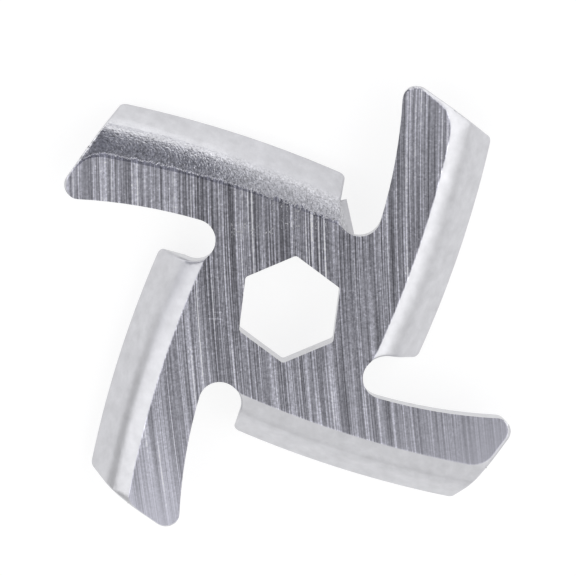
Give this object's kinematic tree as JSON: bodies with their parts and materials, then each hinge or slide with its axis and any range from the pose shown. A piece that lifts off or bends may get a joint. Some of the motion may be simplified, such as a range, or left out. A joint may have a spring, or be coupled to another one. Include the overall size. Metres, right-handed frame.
{
  "type": "meat grinder knife",
  "caption": "Stamped stainless knife for a small meat grinder: swept arms with ground cutting edges, wings bent down behind them, and a hexagonal drive hole.",
  "frame": {"origin": "on the drive axis, in the plane that the wings' lower edges rest on", "axes": "+Z along the drive axis, out of the ground cutting face; +X and +Y to the right and up as the cutting face is looked at"},
  "size_m": [0.0422, 0.0422, 0.0057],
  "materials": {
    "knife_steel": "ground face with fine straight grinding marks, satin wings and walls"
  },
  "bodies": {
    "root": {"grinder_knife": "knife_steel"}
  },
  "joints": []
}
